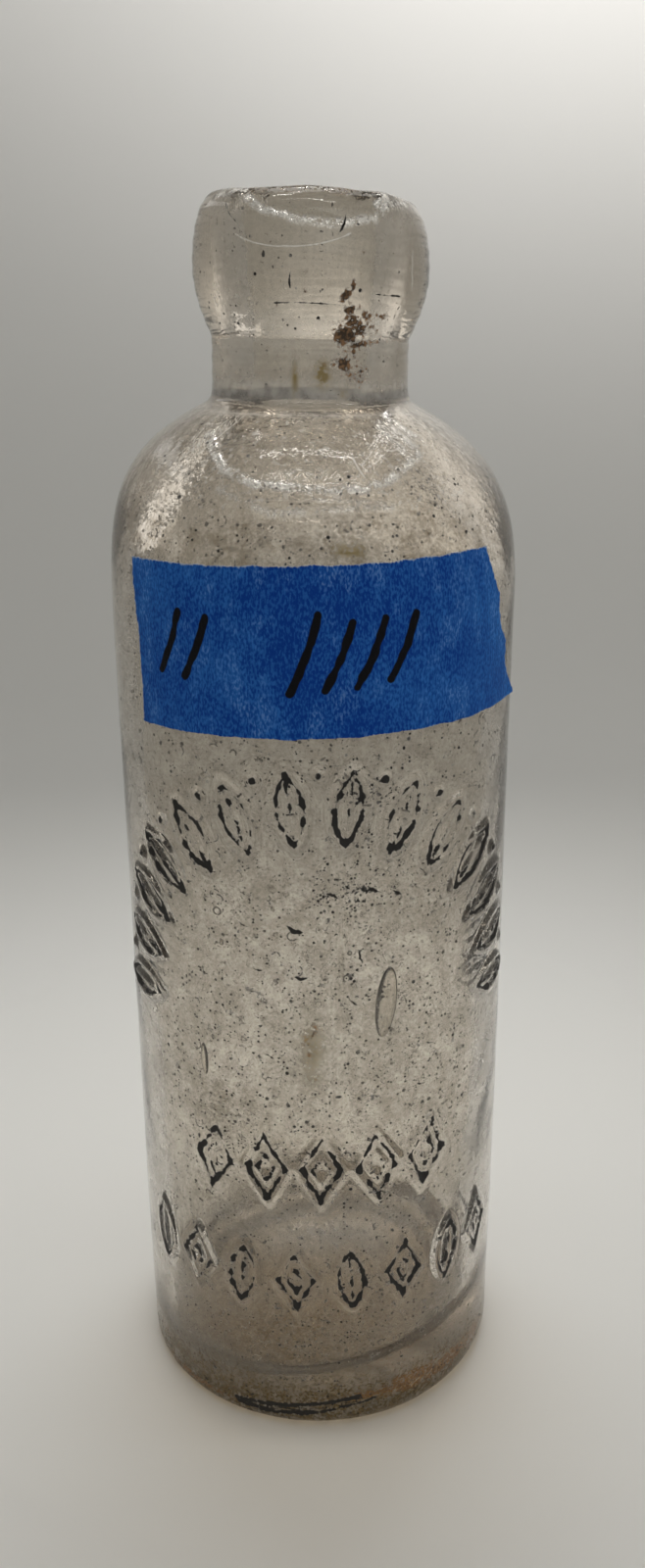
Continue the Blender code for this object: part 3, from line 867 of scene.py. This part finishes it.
# Clearness, roughness and pits: what lies on the glass takes its clearness away
clear = times(tree, left_over(tree, dark), left_over(tree, rust_share))
clear = times(tree, clear, left_over(tree, times(tree, pale, 0.85)))
clear = times(tree, clear, scaled(tree, haze_and_shade_share, -0.22, 1.0))
films = most(tree, yellow_share, ochre_share, times(tree, silt, 0.75))
clear = times(tree, clear, scaled(tree, films, -0.75, 1.0))
rough = scaled(tree, haze_and_shade_share, 0.10, 0.004)
rough = scaled(tree, etched, 0.5, rough)
rough = scaled(tree, flakes, 0.32, rough)
rough = most(tree, rough, times(tree, most(tree, dark, rust_share), 0.6))
pits = sum_up(tree, "SUBTRACT", glint, times(tree, marks, 0.2))
pits = sum_up(tree, "ADD", pits, painted_glint)
uneven_strength = scaled(tree, pitted, 0.45, 0.03)
uneven_strength = scaled(tree, ridge, 0.40, uneven_strength)
bump = grown(tree, "ShaderNodeBump", {"Strength": uneven_strength, "Distance": 0.0003, "Height": pits})
for name, value in (
    ("Base Color", colour),
    ("Metallic", flakes),
    ("Transmission Weight", clear),
    ("Roughness", rough),
    ("Normal", bump.outputs[0]),
):
    tree.links.new(value, shader.inputs[name])

# Light through the glass to the floor, and the tint that grows with thickness
lamp_ray = grown(tree, "ShaderNodeLightPath").outputs["Is Shadow Ray"]
shade = blended(tree, over(tree, at_height, 0.001, 0.014), HEEL_SHADE, BODY_SHADE)
let_through = grown(tree, "ShaderNodeBsdfTransparent", {"Color": shade})
mix = grown(tree, "ShaderNodeMixShader", {0: lamp_ray, 1: shader.outputs[0], 2: let_through.outputs[0]})
thickness = grown(tree, "ShaderNodeVolumeAbsorption", {"Color": THICK_GLASS_TINT, "Density": TINT_DENSITY})
tree.links.new(thickness.outputs[0], tree.nodes["Material Output"].inputs["Volume"])
tree.links.new(mix.outputs[0], tree.nodes["Material Output"].inputs["Surface"])
glass_mesh.materials.append(glass)

bottle = bpy.data.objects.new("glass_bottle_looks", glass_mesh)
scene.collection.objects.link(bottle)
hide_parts("glass_bottle")
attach(bottle, "root")

# Masking tape
# A strip of blue crepe paper tape pressed round the front of the body, cut at its left end and
# torn off at its right. It carries tally strokes of a black marker.
TAPE_WIDTH = 23.6
TAPE_THICKNESS = 0.16
TAPE_LIFT = 0.07
TAPE_FOOT = 120.6
TAPE_RISE = 0.8
TAPE_REACH = 39.8
CUT_END = 28.5
CUT_SLANT = 1.6
TORN_END = 39.4
TORN_SLANT = 10.9
CORNER_LIFT = 0.5
CRINKLE = 0.018
TAPE_COLUMNS = 300
TAPE_ROWS = 104
# Bites of the torn end: where each begins and ends up the tape's width, and its depth
TORN_BITES = ((0.0, 0.38, 1.5), (0.38, 0.69, 1.2), (0.69, 1.0, 0.68))
upward, sideward = np.meshgrid(np.linspace(0, 1, TAPE_ROWS), np.linspace(0, 1, TAPE_COLUMNS), indexing="ij")


def ragged_line(share, seed, coarse, fine_part):
    """Torn edge along share 0 to 1: slow and quick seeded sine waves, in mm."""
    steps = np.stack([share * 24, 0 * share, 0 * share], axis=-1).reshape(-1, 3)
    slow_part = waves(steps, 4.0, seed, count=40).reshape(share.shape)
    quick_part = waves(steps, 0.9, seed + 1, count=40).reshape(share.shape)
    return coarse * slow_part + fine_part * quick_part


cut_end = -(CUT_END + CUT_SLANT * upward**2) + ragged_line(upward, 3, 0.08, 0.04)
torn_bites = np.zeros(upward.shape)
for low, high, bite in TORN_BITES:
    inside = np.clip((upward - low) / (high - low), 0, 1)
    torn_bites += bite * np.sin(math.pi * inside)
torn_end = TORN_END - TORN_SLANT * upward - torn_bites + ragged_line(upward, 7, 0.16, 0.09)
tape_across = cut_end + (torn_end - cut_end) * sideward
tape_angle = tape_across / BODY_RADIUS
tape_level = TAPE_FOOT + TAPE_WIDTH * upward + TAPE_RISE * tape_across / TAPE_REACH
tape_level = tape_level + 0.05 * (2 * upward - 1) * ragged_line(sideward * 3, 9, 1.0, 0.4)
climb = outside[::-1]
leaning_level = tape_level + heel_lean(tape_level) * BODY_RADIUS * np.sin(tape_angle)
tape_radius = np.interp(leaning_level, climb[:, 1], climb[:, 0])
on_glass_x, on_glass_y = tape_radius * np.sin(tape_angle), -tape_radius * np.cos(tape_angle)
on_glass = np.stack([on_glass_x, on_glass_y, leaning_level], axis=-1).reshape(-1, 3)
follow = 0.05 * waves(on_glass, 46, seed=11) + 0.028 * waves(on_glass, 17, seed=12)
follow = (follow + 0.010 * waves(on_glass, 6.5, seed=13)).reshape(upward.shape)
crinkle = np.sin(tape_across * 9.0 + 1.5 * waves(on_glass, 3.0, seed=21).reshape(upward.shape))
lifted_corner = CORNER_LIFT * eased(tape_across, 35.0, 39.0) * (1 - eased(upward, 0.0, 0.20))
inner_radius = tape_radius + follow + TAPE_LIFT + lifted_corner
outer_radius = inner_radius + TAPE_THICKNESS + CRINKLE * crinkle


def tape_face(far):
    """Points of one face of the tape at a radius: x = r sin a, y = -r cos a, z = the level."""
    face = np.stack([far * np.sin(tape_angle), -far * np.cos(tape_angle), tape_level], axis=-1)
    return face.reshape(-1, 3)


tape_points = np.vstack([tape_face(outer_radius), tape_face(inner_radius)])
tape_points[:, 0] += neck_shift(tape_points[:, 2])
tape_row, tape_column = np.meshgrid(np.arange(TAPE_ROWS - 1), np.arange(TAPE_COLUMNS - 1), indexing="ij")
corner = tape_row * TAPE_COLUMNS + tape_column
above = corner + TAPE_COLUMNS
front = np.stack([corner, corner + 1, above + 1, above], axis=-1).reshape(-1, 4)
size = TAPE_ROWS * TAPE_COLUMNS
back = front[:, ::-1] + size
loop = np.concatenate(
    [
        np.arange(TAPE_COLUMNS - 1),
        np.arange(TAPE_ROWS - 1) * TAPE_COLUMNS + TAPE_COLUMNS - 1,
        size - 1 - np.arange(TAPE_COLUMNS - 1),
        (TAPE_ROWS - 1 - np.arange(TAPE_ROWS - 1)) * TAPE_COLUMNS,
    ]
)
next_in_loop = np.roll(loop, -1)
edge = np.stack([loop, loop + size, next_in_loop + size, next_in_loop], axis=-1)
tape_mesh = bpy.data.meshes.new("masking_tape_looks")
tape_mesh.from_pydata((tape_points * MM).tolist(), [], np.vstack([front, back, edge]).tolist())
tape_mesh.shade_smooth()
tape_mesh.set_sharp_from_angle(angle=math.radians(40))

# Marker strokes, unrolled in mm: each is a straight pull of the pen, in two tallied groups
MARKER_HALF_WIDTH = 0.62
pen_pulls = [
    ((-23.6, 128.6), (-19.9, 137.3)),
    ((-19.2, 128.2), (-15.3, 136.8)),
    ((-3.4, 127.0), (0.6, 137.6)),
    ((1.4, 127.4), (5.2, 136.6)),
    ((5.9, 127.8), (9.7, 137.0)),
    ((10.6, 128.6), (14.2, 137.4)),
]
ink_distance = np.full(upward.shape, 9.0)
for (x0, y0), (x1, y1) in pen_pulls:
    length = math.hypot(x1 - x0, y1 - y0)
    along = ((tape_across - x0) * (x1 - x0) + (tape_level - y0) * (y1 - y0)) / length
    aside = ((tape_across - x0) * (y1 - y0) - (tape_level - y0) * (x1 - x0)) / length
    aside = aside - 0.35 * np.sin(along / length * math.pi)
    beyond = np.maximum(np.maximum(-along, along - length), 0)
    ink_distance = np.minimum(ink_distance, np.hypot(aside, beyond) - MARKER_HALF_WIDTH)
ink_distance = ink_distance - 0.07 * waves(on_glass, 2.4, seed=31).reshape(upward.shape)
rim_distance = np.minimum.reduce(
    [
        (torn_end - tape_across) * 0.9,
        tape_across - cut_end,
        TAPE_WIDTH * (1 - upward) + 0.02,
        TAPE_WIDTH * upward + 0.12,
    ]
)
for name, values in (("ink", ink_distance), ("rim", rim_distance), ("across", tape_across)):
    kept = tape_mesh.attributes.new(name, "FLOAT", "POINT")
    kept.data.foreach_set("value", np.tile(values.ravel(), 2).astype(np.float32))

DEEP_BLUE = (0.000, 0.047, 0.310, 1)
PALE_BLUE = (0.042, 0.235, 0.700, 1)
FIBRE_WHITE = (0.48, 0.55, 0.62, 1)
MARKER_BLACK = (0.004, 0.004, 0.006, 1)
FIBRE_PACE = 3600
BLOT_PACE = 330
PAINTED_LIGHT_REACH = 34
crepe = bpy.data.materials.new("blue_crepe_paper")
crepe.use_nodes = True
tree = crepe.node_tree
shader = tree.nodes["Principled BSDF"]
at = grown(tree, "ShaderNodeTexCoord").outputs["Object"]
upright = grown(tree, "ShaderNodeMapping", {"Vector": at, "Scale": (1.0, 1.0, 0.45)}).outputs[0]
fibre = noise(tree, upright, FIBRE_PACE, 4)
blot = noise(tree, upright, BLOT_PACE, 4)
cloud = noise(tree, at, PATCHY_PACE, 3)
pale = scaled(tree, over(tree, fibre, 0.40, 0.20), 0.52, -0.05)
pale = scaled(tree, over(tree, blot, 0.44, 0.26), 0.30, pale)
pale = scaled(tree, sum_up(tree, "SUBTRACT", cloud, 0.5), 0.8, pale, clamp=True)
# Paler towards both ends of the tape: painted light, as if lit from both sides.
painted_light_towards_ends = times(tree, attribute(tree, "across"), 1 / PAINTED_LIGHT_REACH)
painted_light_towards_ends = times(tree, painted_light_towards_ends, painted_light_towards_ends)
pale = scaled(tree, painted_light_towards_ends, 0.34, sum_up(tree, "SUBTRACT", pale, 0.10), clamp=True)
colour = blended(tree, pale, DEEP_BLUE, PALE_BLUE)
lint = times(tree, over(tree, fibre, 0.50, 0.14), over(tree, blot, 0.52, 0.12))
colour = blended(tree, times(tree, lint, 0.16), colour, FIBRE_WHITE)
frayed = over(tree, scaled(tree, fibre, 0.9, -0.30), attribute(tree, "rim"), 0.10)
colour = blended(tree, times(tree, frayed, 0.75), colour, FIBRE_WHITE)
inked = over(tree, scaled(tree, fibre, 0.25, -0.12), attribute(tree, "ink"), 0.10)
colour = blended(tree, inked, colour, MARKER_BLACK)
shader.inputs["Specular IOR Level"].default_value = 0.12
rough = scaled(tree, fibre, 0.25, 0.55)
rough = scaled(tree, inked, -0.15, rough)
bump = grown(tree, "ShaderNodeBump", {"Strength": 0.5, "Distance": 0.0002, "Height": fibre})
for name, value in (("Base Color", colour), ("Roughness", rough), ("Normal", bump.outputs[0])):
    tree.links.new(value, shader.inputs[name])
tape_mesh.materials.append(crepe)
tape = bpy.data.objects.new("masking_tape_looks", tape_mesh)
scene.collection.objects.link(tape)
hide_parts("masking_tape")
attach(tape, "root")

# Studio
# A pale seamless sweep all round the bottle, in metres, which rises softly into a glowing wall, its glow
# painted light, brighter higher up and on its right, with an overhead lamp and narrow strips of light in
# front, above, on the left and on the right.
SWEEP_FLAT = 0.45
SWEEP_BEND = 0.35
SWEEP_TOP = 0.8
SWEEP_MIDDLE = 0.02
SWEEP_STEPS = 24
SWEEP_COLUMNS = 96
bend = np.linspace(0, math.pi / 2, SWEEP_STEPS)[1:]
flat = np.linspace(SWEEP_MIDDLE, SWEEP_FLAT, SWEEP_STEPS)
sweep_radius = np.concatenate([flat, SWEEP_FLAT + SWEEP_BEND * np.sin(bend), [SWEEP_FLAT + SWEEP_BEND]])
sweep_height = np.concatenate([0 * flat, SWEEP_BEND * (1 - np.cos(bend)), [SWEEP_TOP]])
turns = np.arange(SWEEP_COLUMNS) / SWEEP_COLUMNS * 2 * math.pi
sweep_points = np.stack(
    [
        np.outer(sweep_radius, np.cos(turns)),
        np.outer(sweep_radius, np.sin(turns)),
        np.repeat(sweep_height[:, None], SWEEP_COLUMNS, axis=1),
    ],
    axis=-1,
).reshape(-1, 3)
sweep_faces = ring_sides(len(sweep_radius), SWEEP_COLUMNS).tolist()
sweep_faces += fan(len(sweep_points), 0, SWEEP_COLUMNS).tolist()
sweep_points = np.vstack([sweep_points, [[0, 0, 0]]])
sweep_mesh = bpy.data.meshes.new("sweep")
sweep_mesh.from_pydata(sweep_points.tolist(), [], sweep_faces)
sweep_mesh.shade_smooth()
SHEET_COLOUR = (0.72, 0.72, 0.70, 1)
WALL_GLOW = (1.0, 0.975, 0.935, 1)
WALL_BRIGHTEST = 0.58
BRIGHT_SIDE = 0.24
BRIGHT_SPREAD = 0.42
sheet = bpy.data.materials.new("pale_sheet")
sheet.use_nodes = True
tree = sheet.node_tree
shader = tree.nodes["Principled BSDF"]
shader.inputs["Base Color"].default_value = SHEET_COLOUR
shader.inputs["Roughness"].default_value = 0.6
shader.inputs["Specular IOR Level"].default_value = 0.2
at = grown(tree, "ShaderNodeTexCoord").outputs["Object"]
rightward, _, upwards = grown(tree, "ShaderNodeSeparateXYZ", {0: at}).outputs

# Glow of the wall: it grows with height up to its brightest, and fades away from its bright side
climbing = times(tree, sum_up(tree, "POWER", upwards, 2.0), 2.98)
climbing = scaled(tree, upwards, 0.19, climbing)
glow = sum_up(tree, "MINIMUM", climbing, WALL_BRIGHTEST)
aside = sum_up(tree, "DIVIDE", sum_up(tree, "SUBTRACT", rightward, BRIGHT_SIDE), BRIGHT_SPREAD)
to_the_right = sum_up(tree, "EXPONENT", times(tree, times(tree, aside, aside), -1.0))
glow = times(tree, glow, scaled(tree, to_the_right, 1.18, 0.12))
shader.inputs["Emission Color"].default_value = WALL_GLOW
tree.links.new(glow, shader.inputs["Emission Strength"])
sweep_mesh.materials.append(sheet)
sweep = bpy.data.objects.new("sweep", sweep_mesh)
scene.collection.objects.link(sweep)


WARM_WHITE = (1.0, 0.985, 0.96)
OVERHEAD_SPREAD = 46
ROOM_GLOW = 0.12


def soft_lamp(name, at_place, aim, wide, deep, power):
    """Rectangular lamp at a place, turned to face the aim."""
    lamp_data = bpy.data.lights.new(name, "AREA")
    lamp_data.shape = "RECTANGLE"
    lamp_data.size, lamp_data.size_y = wide, deep
    lamp_data.energy = power
    lamp_data.color = WARM_WHITE
    lamp = bpy.data.objects.new(name, lamp_data)
    scene.collection.objects.link(lamp)
    towards = np.array(aim) - np.array(at_place)
    side = np.cross(towards, (0, 1, 0))
    side /= np.linalg.norm(side)
    back = -towards / np.linalg.norm(towards)
    up = np.cross(back, side)
    rows = [(*row, shift) for row, shift in zip(np.stack([side, up, back], axis=1), at_place)]
    lamp.matrix_world = Matrix(rows + [(0, 0, 0, 1)])
    return lamp_data


overhead = soft_lamp("overhead", (0.0, 0.16, 0.62), (0, 0.06, 0), wide=0.30, deep=0.022, power=0.130)
overhead.spread = math.radians(OVERHEAD_SPREAD)
soft_lamp("front_strip", (0.0, -0.23, 0.66), (0, 0, 0.15), wide=0.40, deep=0.012, power=0.24)
soft_lamp("top_strip", (0.0, -0.02, 0.72), (0, 0, 0.10), wide=0.40, deep=0.014, power=0.35)
soft_lamp("left_strip", (-0.42, 0.28, 0.48), (0, 0, 0.15), wide=0.09, deep=0.50, power=0.125)
soft_lamp("right_strip", (0.22, 0.16, 0.62), (0, 0, 0.15), wide=0.014, deep=0.60, power=0.22)
scene.world = bpy.data.worlds.new("room")
scene.world.use_nodes = True
background = scene.world.node_tree.nodes["Background"]
background.inputs["Color"].default_value = (*WARM_WHITE, 1)
background.inputs["Strength"].default_value = ROOM_GLOW
scene.view_settings.view_transform = "Standard"
